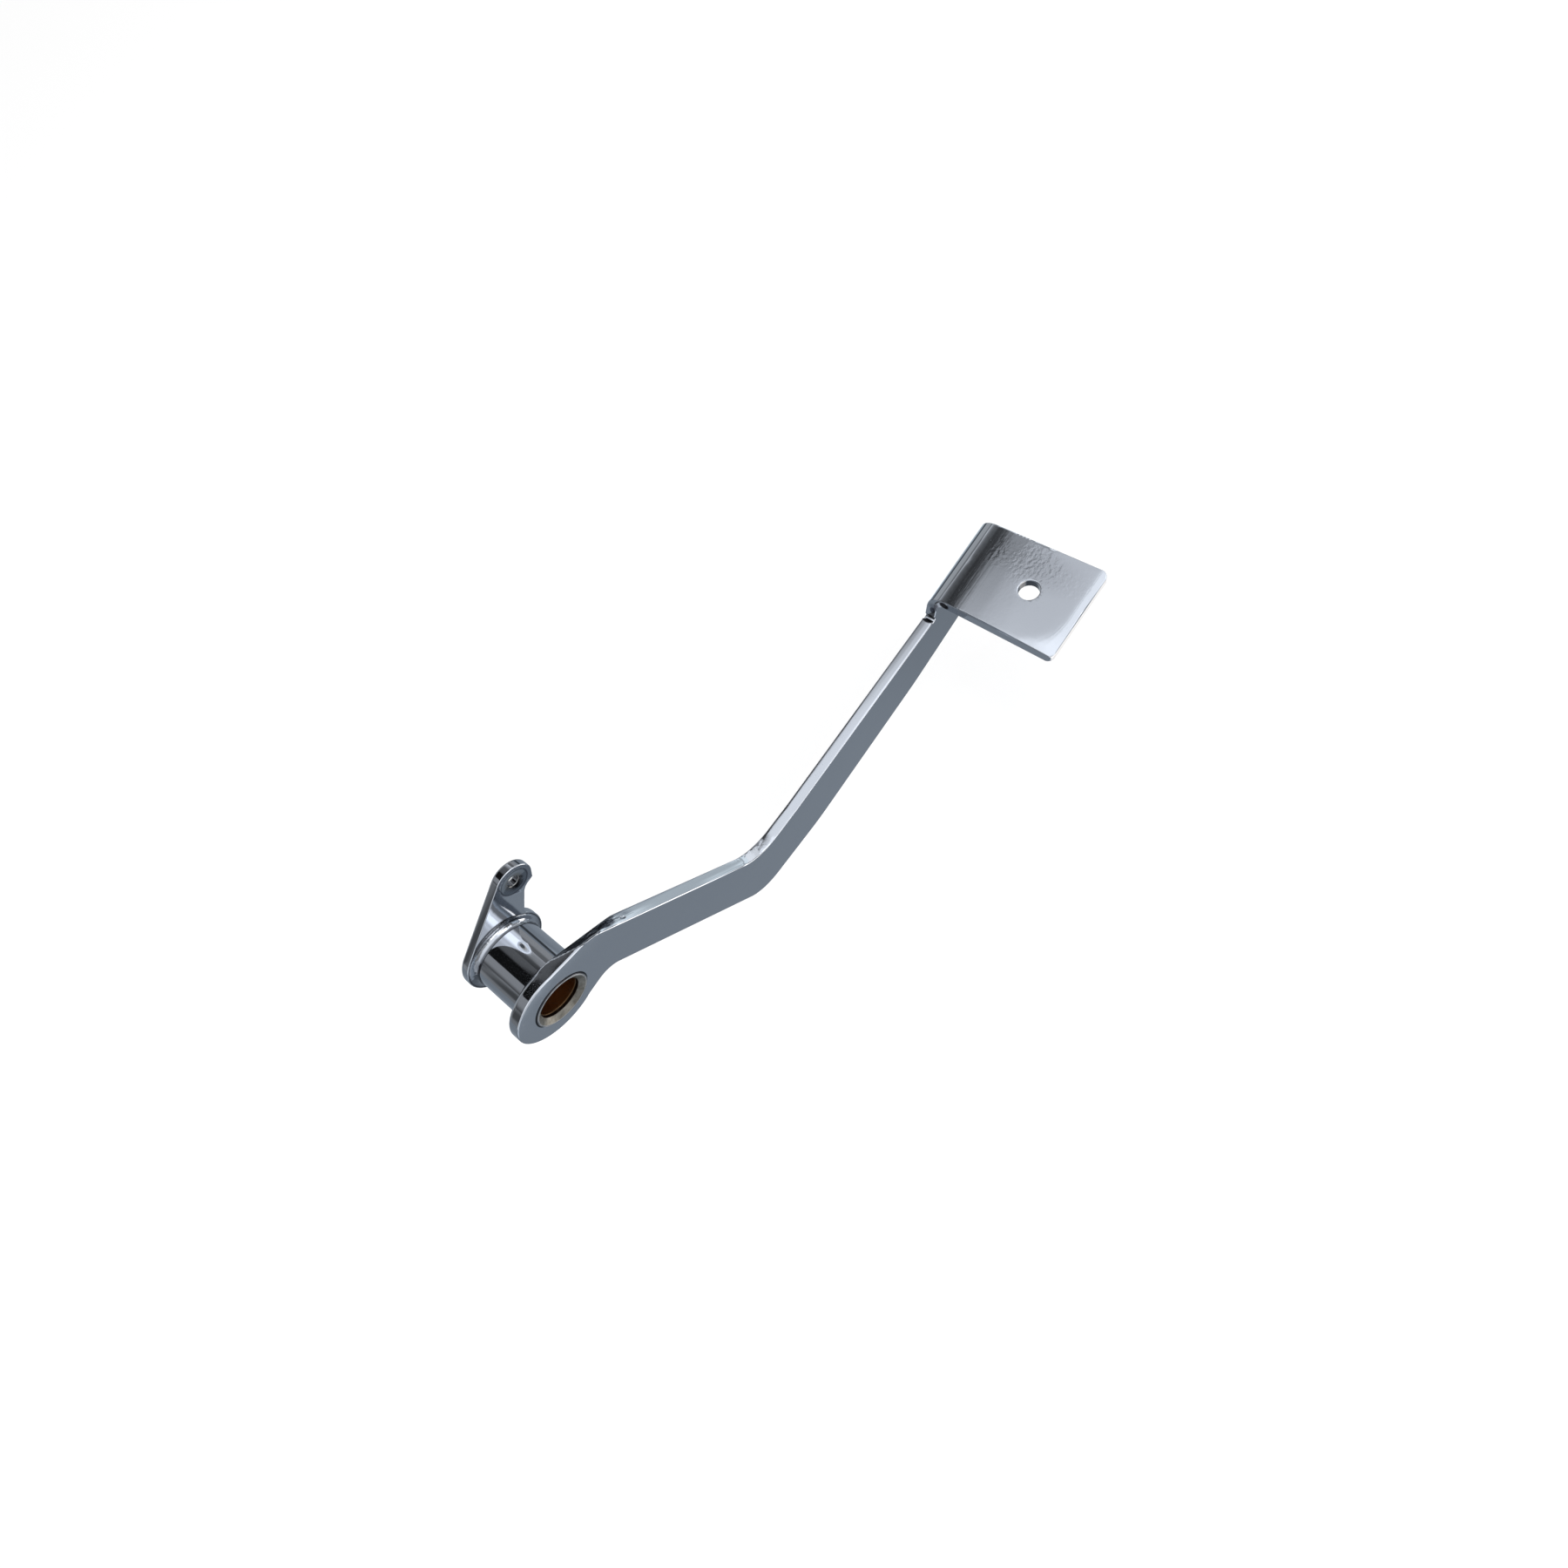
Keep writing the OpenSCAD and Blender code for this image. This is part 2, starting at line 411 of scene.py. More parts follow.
@dataclass(frozen=True)
class ArmChrome(ChromePlate):
    """The arm's chrome: hammered patch, polishing swirls, dark ring line, painted dark reflection streaks
    on the shoulder, and painted shade at the notch and the bolt hole.

    Bands whose names end in _mm are in millimetres, and the others in metres.
    """

    foot_x: Band = (256 * MM, 262 * MM)
    fold_in_y: Band = (-48 * MM, -34 * MM)
    fold_out_y: Band = (-24 * MM, -20 * MM)
    face_y: Band = (-19.3 * MM, -18.8 * MM)
    rim_y: Band = (-19.0 * MM, -18.2 * MM)
    groove_mm: Band = (13.75, 14.15)
    bolt: tuple[float, float] = (287.2 * MM, -58.9 * MM)
    bolt_shade_mm: Band = (5.75, 5.95)
    bolt_shade_z: Band = (-91.0 * MM, -90.1 * MM)
    patch: Spot = Spot((0.300, -0.056, -0.0896), (0.016, 0.036, 0.004))
    knee: Spot = Spot((0.094, -0.0165, -0.094), (0.020, 0.006, 0.016))
    shoulder: Spot = Spot((0.032, -0.0160, 0.006), (0.019, 0.008, 0.018))
    dimple: Spot = Spot((0.0412, -0.0172, -0.0060), (0.0022, 0.0014, 0.0022))
    # Painted dark reflection on the shoulder, and painted shade at and beside the notch.
    painted_shades: tuple[ShadeSpot, ...] = (
        ShadeSpot((0.0352, -0.0166, 0.0020), (0.0058, 0.0030, 0.0085), 0.80, (0.05, 0.055, 0.07)),
        ShadeSpot((0.2580, -0.0175, -0.1015), (0.0016, 0.0022, 0.0032), 0.85, (0.035, 0.040, 0.065)),
        ShadeSpot((0.2583, -0.0190, -0.0960), (0.0016, 0.0075, 0.0070), 0.55, (0.16, 0.165, 0.20)),
    )
    # Painted shade: where a dull black hides the notch and its inner corner.
    shade_spots: tuple[Spot, ...] = (
        Spot((0.2544, -0.0163, -0.1064), (0.0030, 0.0048, 0.0030)),
        Spot((0.2590, -0.0243, -0.0932), (0.0031, 0.0042, 0.0036)),
    )

    def _local(self, g: Graph, colour: Val, height: Val) -> Look:
        """Adds what only the arm shows.

        Args:
            g: the material's tree.
            colour: the plate's colour so far.
            height: the plate's height so far.
        Returns:
            Colour, height, and where soot hides the metal.
        """
        x, y, z = g.axes(g.place())
        foot_plate = x.smooth(*self.foot_x)
        patch = g.blob(self.patch)
        fold = foot_plate * y.smooth(*self.fold_in_y) * y.fall(*self.fold_out_y)
        shoulder = g.blob(self.shoulder) * y.smooth(*self.rim_y)
        height = height + g.noise(2.0 * MM) * (patch * 0.85 + 0.05) * foot_plate * (0.145 * MM)
        height = height + g.noise(1.7 * MM, 1.0, (16.0, 1.0, 1.0)) * fold * (0.014 * MM)
        height = height + g.noise(3.0 * MM) * g.blob(self.knee) * (0.20 * MM)
        height = height + g.noise(1.1 * MM, 2.0, (4.5, 1.0, 4.5)) * shoulder * (0.36 * MM)
        height = height - g.blob(self.dimple).smooth(0.0, 0.7) * (0.45 * MM)
        colour = g.mix(patch * 0.34, colour, (0.28, 0.285, 0.30))
        # Painted dark reflection: near-black streaks over the shoulder's edge.
        dark_streaks = g.noise(0.9 * MM, 2.0, (6.0, 1.0, 6.0)).smooth(0.42, 0.56) * shoulder
        colour = g.mix(dark_streaks * 0.8, colour, (0.06, 0.065, 0.085))
        groove = x.hypot(z).mm().fall(*self.groove_mm) * y.fall(*self.face_y)
        colour = g.mix(groove * 0.9, colour, DARK_LINE)
        # Painted shade and dark reflection: dark spots on the shoulder and at the foot plate's notch.
        for shade_spot in self.painted_shades:
            colour = g.mix(g.blob(shade_spot).smooth(0.0, 0.5) * shade_spot.share, colour, shade_spot.paint)
        # Painted shade: the bolt hole's wall darkened.
        from_bolt = (x - self.bolt[0]).hypot(y - self.bolt[1]).mm()
        wall = from_bolt.fall(*self.bolt_shade_mm) * z.fall(*self.bolt_shade_z)
        colour = g.mix(wall * 0.86, colour, DARK_LINE)
        # Painted shade: dull black in the notch and its inner corner.
        painted_shade: Term = 0.0
        for spot in self.shade_spots:
            painted_shade = g.math("MAXIMUM", g.blob(spot).smooth(0.0, 0.4), painted_shade)
        return colour, height, painted_shade * 0.97


@dataclass(frozen=True)
class WeldChrome(ChromePlate):
    """Chrome over a weld bead: painted shade on its rear lower side, lumpier, and painted crease shade
    where it meets tube and plate.
    """

    # Painted crease shade at the bead's root and toe, and painted shade on its rear lower side.
    root_shade_mm: Band = (15.95, 16.3)
    toe_shade_mm: Band = (18.1, 18.7)
    behind: Band = (4 * MM, 18 * MM)

    def _local(self, g: Graph, colour: Val, height: Val) -> Look:
        """Adds what only the beads show.

        Args:
            g: the material's tree.
            colour: the plate's colour so far.
            height: the plate's height so far.
        Returns:
            Colour and height; there is no painted black shade.
        """
        x, _, z = g.axes(g.place())
        radius = x.hypot(z).mm()
        # Painted crease shade: dark lines where the bead meets the tube and the plate.
        edges = radius.fall(*self.root_shade_mm) + radius.smooth(*self.toe_shade_mm) * 0.8
        # Painted shade: the bead's rear lower side darker.
        colour = g.mix((x + z).fall(*self.behind) * 0.74, colour, (0.13, 0.14, 0.16))
        colour = g.mix(edges * 0.85, colour, DARK_LINE)
        return colour, height + g.noise(1.6 * MM) * (0.10 * MM), None


@dataclass(frozen=True)
class LeverChrome(ChromePlate):
    """The lever's chrome, tarnished in the dish round the push rod hole, with painted shade in the hole.
    """

    rod: tuple[float, float] = (29.8 * MM, 26.6 * MM)
    face_y: Band = (16.2 * MM, 16.5 * MM)
    dish_mm: Band = (6.3, 6.7)
    stain_mm: Band = (3.2, 5.2)
    # Painted shade in the push rod hole.
    hole_shade_mm: Band = (2.3, 2.9)

    def _local(self, g: Graph, colour: Val, height: Val) -> Look:
        """Adds what only the lever shows.

        Args:
            g: the material's tree.
            colour: the plate's colour so far.
            height: the plate's height so far.
        Returns:
            Colour and height; there is no painted black shade.
        """
        x, y, z = g.axes(g.place())
        away = (x - self.rod[0]).hypot(z - self.rod[1]).mm()
        outboard = y.fall(*self.face_y)
        rim = away.line(sum(self.dish_mm) / 2, 0.15, 0.5)
        colour = g.mix(away.fall(*self.dish_mm) * outboard * 0.55, colour, (0.20, 0.225, 0.25))
        colour = g.mix(away.fall(*self.stain_mm) * outboard * 0.6, colour, (0.21, 0.185, 0.15))
        colour = g.mix(rim * outboard * 0.7, colour, (0.09, 0.10, 0.12))
        # Painted shade: the push rod hole's wall near black.
        colour = g.mix(away.fall(*self.hole_shade_mm) * 0.85, colour, (0.03, 0.03, 0.03))
        return colour, height, None


@dataclass(frozen=True)
class BushBronze:
    """A sintered bronze bushing: pale end ring, flared mouth, painted shadow on the mouth's step, a bore
    wall in bronze brown darkened by painted shade, and painted crease shade on the outer chamfer.

    The face is in metres, and the rest in millimetres from the face or from the axis.
    """

    name: str
    face: float
    # Past this the mouth's step is painted near black, a painted shadow.
    mouth_shadow_start: Band = (1.75, 2.0)
    step: float = 3.70
    wall_start: Band = (3.35, 3.65)
    ring_start: Band = (12.35, 12.55)
    chamfer_shade_start: Band = (13.05, 13.25)

    def make(self) -> bpy.types.Material:
        """The finish as a material."""
        return surface(self.name, self._fill)

    def _fill(self, g: Graph) -> dict:
        """Builds the pattern.

        Args:
            g: the material's tree.
        Returns:
            The shader's inputs, with height.
        """
        x, y, z = g.axes(g.place())
        radius = x.hypot(z).mm()
        depth = (self.face - g.math("ABSOLUTE", y)).mm()
        blotch = g.noise(2.5 * MM, 3.0)
        fine = g.noise(0.45 * MM, 3.0)
        pores = g.specks(0.55 * MM, 0.22)
        # The bore wall: bronze brown darkened by painted shade, paler deeper in.
        wall = g.mix(depth.smooth(3.0, 14.0), (0.15, 0.052, 0.013), (0.29, 0.10, 0.026))
        flare = g.mix(blotch.smooth(0.35, 0.65), (0.13, 0.12, 0.10), (0.21, 0.20, 0.175))
        # Painted shadow: past the flare the mouth's step goes near black.
        mouth = g.mix(depth.smooth(*self.mouth_shadow_start), flare, (0.018, 0.009, 0.004))
        inner = g.mix(depth.smooth(*self.wall_start), mouth, wall)
        inner = g.mix(depth.line(self.step, 0.15, 0.40) * 0.7, inner, (0.20, 0.115, 0.05))
        ring = g.mix(blotch.smooth(0.3, 0.7), (0.20, 0.205, 0.21), (0.31, 0.315, 0.32))
        on_ring = radius.smooth(*self.ring_start)
        colour = g.mix(on_ring, inner, ring)
        # Painted crease shade: the outer chamfer near black where it meets the tube.
        colour = g.mix(radius.smooth(*self.chamfer_shade_start), colour, (0.035, 0.038, 0.045))
        colour = g.mix(pores * (1 - on_ring * 0.7) * 0.5, colour, (0.05, 0.025, 0.012))
        colour = g.mix(blotch.smooth(0.52, 0.72) * 0.35, colour, (0.10, 0.075, 0.05))
        rough = fine * 0.2 + blotch * 0.15 + 0.22 - on_ring * 0.06
        height = fine * (0.004 * MM) - pores * (0.012 * MM)
        return {"Base Color": colour, "Metallic": 0.9, "Roughness": rough, "height": height}


# Meshes


def new_object(name: str, data: bpy.types.ID) -> bpy.types.Object:
    """Adds an object to the scene.

    Args:
        name: its name.
        data: its mesh, lamp or camera.
    Returns:
        The object.
    """
    made = bpy.data.objects.new(name, data)
    bpy.context.scene.collection.objects.link(made)
    return made


def new_sheet(name: str, corners: Sequence[Point], material: bpy.types.Material) -> bpy.types.Object:
    """Adds a flat four-cornered sheet.

    Args:
        name: its name.
        corners: its corners, in order.
        material: its material.
    Returns:
        The sheet's object.
    """
    mesh = bpy.data.meshes.new(name)
    mesh.from_pydata(corners, [], [(0, 1, 2, 3)])
    mesh.materials.append(material)
    return new_object(name, mesh)


def even_normals(mesh: bpy.types.Mesh) -> None:
    """Smooth shading that keeps broad flat faces flat, by weighing each face by its area.

    Args:
        mesh: the finished mesh.
    """
    sums = [Vector() for _ in mesh.vertices]
    for face in mesh.polygons:
        face.use_smooth = True
        for index in face.vertices:
            sums[index] += face.normal * face.area
    mesh.normals_split_custom_set_from_vertices([s.normalized() for s in sums])


def finish_piece(
    name: str, mesh: bpy.types.Mesh, material: bpy.types.Material, node: str
) -> None:
    """Puts a mesh in the scene in place of a node.

    Args:
        name: the piece's name.
        mesh: its mesh, in the solids' frame.
        material: its finish.
        node: the node that it stands for.
    """
    even_normals(mesh)
    mesh.materials.clear()
    mesh.materials.append(material)
    piece = new_object(name, mesh)
    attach(piece, "root")
    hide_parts(node)
    LOG.info("%s: %d faces", name, len(mesh.polygons))


def merged_copy(node: bpy.types.Object) -> bmesh.types.BMesh:
    """A node's solid as one joined shell with its flat faces whole.

    Args:
        node: the node's object.
    Returns:
        A new bmesh.
    """
    bm = bmesh.new()
    bm.from_mesh(node.data)
    bmesh.ops.remove_doubles(bm, verts=bm.verts, dist=0.002 * MM)
    bmesh.ops.dissolve_limit(bm, angle_limit=math.radians(0.2), verts=bm.verts, edges=bm.edges)
    return bm


def plain_mesh(bm: bmesh.types.BMesh, name: str) -> bpy.types.Mesh:
    """Turns a shell into a mesh, with its many-sided faces split.

    Args:
        bm: the shell, which is freed.
        name: the mesh's name.
    Returns:
        The mesh.
    """
    bmesh.ops.triangulate(bm, faces=[f for f in bm.faces if len(f.verts) > 4])
    mesh = bpy.data.meshes.new(name)
    bm.to_mesh(mesh)
    bm.free()
    return mesh


def soften(
    bm: bmesh.types.BMesh, width: float, steps: int, chosen: Callable[[bmesh.types.BMEdge], bool]
) -> None:
    """Rounds the sharp outer edges.

    Args:
        bm: the shell.
        width: how far the rounding reaches.
        steps: facets across it.
        chosen: says which of the sharp edges are rounded.
    """
    sharp = [
        e
        for e in bm.edges
        if len(e.link_faces) == 2 and e.is_convex and e.calc_face_angle(0.0) > SHARP and chosen(e)
    ]
    bmesh.ops.bevel(
        bm, geom=sharp, offset=width, offset_type="OFFSET", segments=steps, profile=0.5, affect="EDGES",
        clamp_overlap=False,
    )


def cut_up(
    bm: bmesh.types.BMesh,
    across: Vector,
    places: Iterable[float],
    chosen: Callable[[bmesh.types.BMFace], bool],
) -> None:
    """Cuts chosen faces along parallel planes, so that they can be shaped.

    Args:
        bm: the shell.
        across: the planes' unit normal.
        places: how far each plane is from the origin along the normal.
        chosen: says which faces are cut.
    """
    for place in places:
        inside = [f for f in bm.faces if chosen(f)]
        edges = {e for f in inside for e in f.edges}
        verts = {v for f in inside for v in f.verts}
        bmesh.ops.bisect_plane(
            bm, geom=[*verts, *edges, *inside], plane_co=across * place, plane_no=across, dist=1e-7
        )


def lathe(profile: Profile, steps: int) -> bpy.types.Mesh:
    """Turns a closed profile about the Y axis.

    Args:
        profile: (radius, y) points of a closed loop.
        steps: facets round the axis.
    Returns:
        The turned mesh, closed and facing outwards.
    """
    bm = bmesh.new()
    rings = []
    for i in range(steps):
        a = math.tau * i / steps
        rings.append([bm.verts.new((r * math.cos(a), y, r * math.sin(a))) for r, y in profile])
    count = len(profile)
    for i in range(steps):
        here, there = rings[i], rings[(i + 1) % steps]
        for k in range(count):
            n = (k + 1) % count
            bm.faces.new((here[k], here[n], there[n], there[k]))
    bmesh.ops.recalc_face_normals(bm, faces=bm.faces)
    return plain_mesh(bm, "turned")


def eased(profile: Profile, reach: float, steps: int = 3) -> Profile:
    """Rounds every corner of a closed profile.

    Args:
        profile: the corner points.
        reach: how far from a corner the rounding starts.
        steps: points per corner, less one.
    Returns:
        The rounded profile.
    """
    out = []
    for i, corner in enumerate(profile):
        here = Vector(corner)
        before = Vector(profile[i - 1]) - here
        after = Vector(profile[(i + 1) % len(profile)]) - here
        cut = min(reach, before.length * 0.4, after.length * 0.4)
        start, end = here + before.normalized() * cut, here + after.normalized() * cut
        for k in range(steps + 1):
            t = k / steps
            point = start * (1 - t) ** 2 + here * 2 * t * (1 - t) + end * t * t
            out.append((point.x, point.y))
    return out


def bell(value: float, middle: float, width: float) -> float:
    """A bell curve: 1 at the middle, falling off over the width."""
    return math.exp(-(((value - middle) / width) ** 2))


# Sub-assemblies


@dataclass
class PedalArm:
    """The cranked flat arm with its folded foot plate."""

    nodes: dict
    rim: float = 0.5 * MM
    eye_rim: float = 1.7 * MM
    eye_front: float = 9 * MM
    eye_bore: float = 16 * MM
    outboard_y: float = -19.6 * MM
    inboard_y: float = -13.4 * MM
    clear_of_bore: float = 16.5 * MM
    shoulder_x: Band = (12 * MM, 52 * MM)
    shoulder_z: float = -24 * MM
    shoulder_slant: float = 18 * MM
    reach_end: float = 253.5 * MM
    fold_start: float = 254.5 * MM
    flat_start: float = 256.5 * MM
    crown: float = 0.26 * MM
    crown_width: float = 5.0 * MM
    crown_x: Band = (36 * MM, 54 * MM)
    knee_crown: float = 0.35 * MM
    knee_x: float = 92 * MM
    knee_width: float = 22 * MM
    tip_share: float = 0.45
    tip_x: float = 243 * MM
    tip_width: float = 16 * MM
    plate_top: float = -89.6 * MM
    plate_rear: float = 260.4 * MM
    plate_width: float = 63.5 * MM
    rear_lean: float = 2.4 * MM
    roll: float = 0.34 * MM
    roll_width: float = 5.2 * MM
    roll_power: float = 1.7
    rear_roll_width: float = 2.4 * MM
    rear_share: float = 0.35
    corner_extra: float = 3.6 * MM
    corner_reach: float = 17 * MM
    corner_r: float = 18 * MM
    corner_band: float = 0.36
    fold_y: float = -25.4 * MM
    fold_z: float = -101.6 * MM
    fold_r: float = 12 * MM
    ease_y: float = -46 * MM
    ease_drop: float = 0.7 * MM
    skin: float = 1.2 * MM

    def build(self) -> None:
        """Shapes the arm's edges and foot plate, and dresses it."""
        bm = merged_copy(self.nodes["pedal_arm"])
        soften(bm, self.eye_rim, 5, self._on_eye_back)
        soften(bm, self.rim, 3, lambda e: not self._on_eye_back(e))
        self._blend_shoulder(bm)
        self._crown_edges(bm)
        low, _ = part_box("pedal_arm")
        self._shape_foot_plate(bm, low.y)
        mesh = plain_mesh(bm, "pedal_arm_polished")
        finish_piece("pedal_arm_polished", mesh, ArmChrome("arm_chrome").make(), "pedal_arm")

    def _on_eye_back(self, edge: bmesh.types.BMEdge) -> bool:
        """Tests an edge.

        Args:
            edge: an edge of the shell.
        Returns:
            True if it is on the eye's inboard outline.
        """
        back = self.inboard_y - 0.01 * MM
        return all(
            v.co.y > back and v.co.x < self.eye_front and v.co.xz.length > self.eye_bore
            for v in edge.verts
        )

    def _on_cut_edge(self, face: bmesh.types.BMFace) -> bool:
        """Tests a face.

        Args:
            face: a face of the shell.
        Returns:
            True if it is on the cut edge that runs round the arm.
        """
        middle = face.calc_center_median()
        within = middle.x < self.reach_end and middle.y > self.outboard_y + 0.1 * MM
        return within and abs(face.normal.y) < 0.8 and middle.xz.length > self.clear_of_bore

    def _on_shoulder(self, face: bmesh.types.BMFace) -> bool:
        """Tests a face.

        Args:
            face: a face of the shell.
        Returns:
            True if it is on the cut edge over the shoulder, between the eye and the leg.
        """
        middle = face.calc_center_median()
        start, end = self.shoulder_x
        along = start < middle.x < end and middle.z > self.shoulder_z
        return along and middle.x + middle.z > self.shoulder_slant and self._on_cut_edge(face)

    def _on_plate_top(self, face: bmesh.types.BMFace) -> bool:
        """Tests a face.

        Args:
            face: a face of the shell.
        Returns:
            True if it is on the foot plate's top.
        """
        middle = face.calc_center_median()
        high = middle.z > self.plate_top - 0.3 * MM
        return high and face.normal.z > FLAT and middle.x > self.flat_start

    def _blend_shoulder(self, bm: bmesh.types.BMesh) -> None:
        """Blends the belt-ground flat on the shoulder into its surroundings.

        Args:
            bm: the arm's shell.
        """
        down_leg = Vector((0.60, 0.0, -0.80))
        cut_up(bm, down_leg, [(-8 + 0.9 * i) * MM for i in range(56)], self._on_shoulder)
        rows = [self.outboard_y + (0.8 + 0.75 * i) * MM for i in range(7)]
        cut_up(bm, INBOARD, rows, self._on_shoulder)
        chosen = list({v for f in bm.faces if self._on_shoulder(f) for v in f.verts})
        for _ in range(9):
            bmesh.ops.smooth_vert(
                bm, verts=chosen, factor=0.5, use_axis_x=True, use_axis_y=False, use_axis_z=True
            )

    def _crown_edges(self, bm: bmesh.types.BMesh) -> None:
        """Lets the cut edges fall away outboard, as belt polishing leaves them.

        Args:
            bm: the arm's shell.
        """
        rows = [self.outboard_y + d * MM for d in (0.9, 1.5, 2.2, 3.0, 3.9)]
        cut_up(bm, INBOARD, rows, self._on_cut_edge)
        outwards = {}
        for face in bm.faces:
            middle = face.calc_center_median()
            within = middle.x < self.fold_start and middle.xz.length > self.clear_of_bore
            if within and abs(face.normal.y) < FLAT:
                push = Vector((face.normal.x, 0, face.normal.z)) * face.calc_area()
                for v in face.verts:
                    outwards[v] = outwards.get(v, Vector()) + push
        for v, out in outwards.items():
            if out.length > 0:
                v.co -= out.normalized() * self._crown_depth(v.co, out.normalized())

    def _crown_depth(self, at: Vector, out: Vector) -> float:
        """How much is polished off an edge.

        Args:
            at: a place on the cut edge.
            out: the way that the edge faces.
        Returns:
            The depth there.
        """
        knee = bell(at.x, self.knee_x, self.knee_width)
        tip = self.tip_share * bell(at.x, self.tip_x, self.tip_width)
        depth = self.crown + self.knee_crown * (knee + tip) * max(0.0, out.z)
        outboard = max(0.0, 1 - (at.y - self.outboard_y) / self.crown_width)
        start, end = self.crown_x
        along = min(1.0, max(0.0, (at.x - start) / (end - start)))
        return depth * outboard**2 * along * along * (3 - 2 * along)

    def _shape_foot_plate(self, bm: bmesh.types.BMesh, outboard: float) -> None:
        """Rolls the foot plate's outboard and rear edges over, and eases its top into the fold.

        Args:
            bm: the arm's shell.
            outboard: y of the plate's outboard edge.
        """
        rim_cuts = [0.7, 1.4, 2.1, 2.8, 3.6, 4.4, 5.2]
        lengthways = [self.plate_rear + d * MM for d in (*rim_cuts, *range(7, 52, 2))]
        cut_up(bm, FORWARD, lengthways, self._on_plate_top)
        cut_up(bm, INBOARD, [outboard + (d + 0.3) * MM for d in rim_cuts], self._on_plate_top)
        inner_cuts = [*range(7, 40, 3), *range(42, 64)]
        cut_up(bm, INBOARD, [outboard + d * MM for d in inner_cuts], self._on_plate_top)
        for v in bm.verts:
            on_plate = v.co.x >= self.fold_start and v.co.y <= self.inboard_y - 0.1 * MM
            if not on_plate or self._height(v.co) < -self.skin:
                continue
            on_flat = v.co.y < self.fold_y
            v.co.z -= self._ease(v.co.y)
            if on_flat:
                v.co.z -= self._roll(v.co.x, v.co.y - outboard)

    def _height(self, at: Vector) -> float:
        """How far a point is above the foot plate's top, or outside the fold.

        Args:
            at: the point.
        Returns:
            The height, negative inside the metal.
        """
        if at.y < self.fold_y:
            return at.z - self.plate_top
        return (at.yz - Vector((self.fold_y, self.fold_z))).length - self.fold_r

    def _ease(self, y: float) -> float:
        """How far the top sinks towards the fold.

        Args:
            y: the place across the plate.
        Returns:
            The drop.
        """
        run = self.fold_y - self.ease_y
        if y < self.ease_y:
            return 0.0
        if y < self.fold_y:
            return self.ease_drop * ((y - self.ease_y) / run) ** 2
        s = (y - self.fold_y) / self.fold_r
        slope = 2 * self.ease_drop / run * self.fold_r
        return self.ease_drop * (2 * s**3 - 3 * s**2 + 1) + slope * (s**3 - 2 * s**2 + s)

    def _roll(self, x: float, inward: float) -> float:
        """How far the top falls near its outboard and rear edges.

        Args:
            x: place along the plate.
            inward: distance from the outboard edge.
        Returns:
            The drop.
        """
        ahead = x - (self.plate_rear - self.rear_lean * inward / self.plate_width)
        near_corner = bell(inward, 0, self.corner_reach)
        side = max(0.0, 1 - inward / self.roll_width)
        back = max(0.0, 1 - ahead / (self.rear_roll_width + self.corner_extra * near_corner))
        rear_share = self.rear_share + (1 - self.rear_share) * near_corner
        edges = side**self.roll_power + back**self.roll_power * rear_share
        if inward >= self.corner_r or ahead >= self.corner_r:
            return self.roll * edges
        from_centre = math.hypot(self.corner_r - inward, self.corner_r - ahead) / self.corner_r
        share = max(0.0, 1 - (1 - from_centre) / self.corner_band)
        rounded = share**self.roll_power if share < 1 else 1 + 1.5 * (share - 1)
        return self.roll * max(edges, rounded)


@dataclass
class Hub:
    """The pivot tube, its two bushings and the welds that hold it."""

    nodes: dict
    face: float = 20.2 * MM
    tube_bore: float = 13.51 * MM
    steps: int = 192

    def build(self) -> None:
        """Builds and dresses the hub's pieces."""
        self._tube()
        bronze = BushBronze("bronze", self.face).make()
        for node, side in (("outer_bushing", -1.0), ("inner_bushing", 1.0)):
            mesh = Bushing(self.face, side).turn(self.steps)
            finish_piece(node + "_turned", mesh, bronze, node)
        chrome = WeldChrome("weld_chrome", swell=0.06 * MM, swell_size=5 * MM, pits=0.2).make()
        bead = WeldBead()
        for node, side in (("arm_weld", 1.0), ("lever_weld", -1.0)):
            low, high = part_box(node)
            mesh = bead.bake(node + "_bead", low.y if side > 0 else high.y, side, chrome)
            finish_piece(node + "_bead", mesh, chrome, node)

    def _tube(self) -> None:
        """Turns and dresses the pivot tube."""
        chrome = ChromePlate("tube_chrome", swell=0.008 * MM, swell_size=7 * MM, pits=0.1).make()
        low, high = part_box("pivot_tube")
        profile = [(self.tube_bore, low.y), (high.x, low.y), (high.x, high.y), (self.tube_bore, high.y)]
        tube = lathe(eased(profile, 0.25 * MM), self.steps)
        finish_piece("pivot_tube_polished", tube, chrome, "pivot_tube")


@dataclass
class Bushing:
    """A bronze bushing with a flared, stepped mouth."""

    face: float
    side: float
    outer: float = 13.5 * MM
    chamfer: float = 0.5 * MM
    bore: float = 9.6 * MM
    length: float = 16 * MM
    mouth: float = 9.95 * MM
    mouth_depth: float = 3.2 * MM
    lip: float = 12.45 * MM
    lip_depth: float = 1.9 * MM

    def turn(self, steps: int) -> bpy.types.Mesh:
        """Turns the bushing.

        Args:
            steps: facets round the axis.
        Returns:
            Its mesh.
        """
        corners = [
            (self.outer - self.chamfer, 0), (self.outer, self.chamfer), (self.outer, self.length),
            (self.bore, self.length), (self.bore, self.mouth_depth + 0.3 * MM),
            (self.mouth, self.mouth_depth), (self.mouth, self.lip_depth), (self.lip, 0),
        ]
        profile = [(r, self.side * (self.face - depth)) for r, depth in corners]
        return lathe(eased(profile, 0.12 * MM), steps)


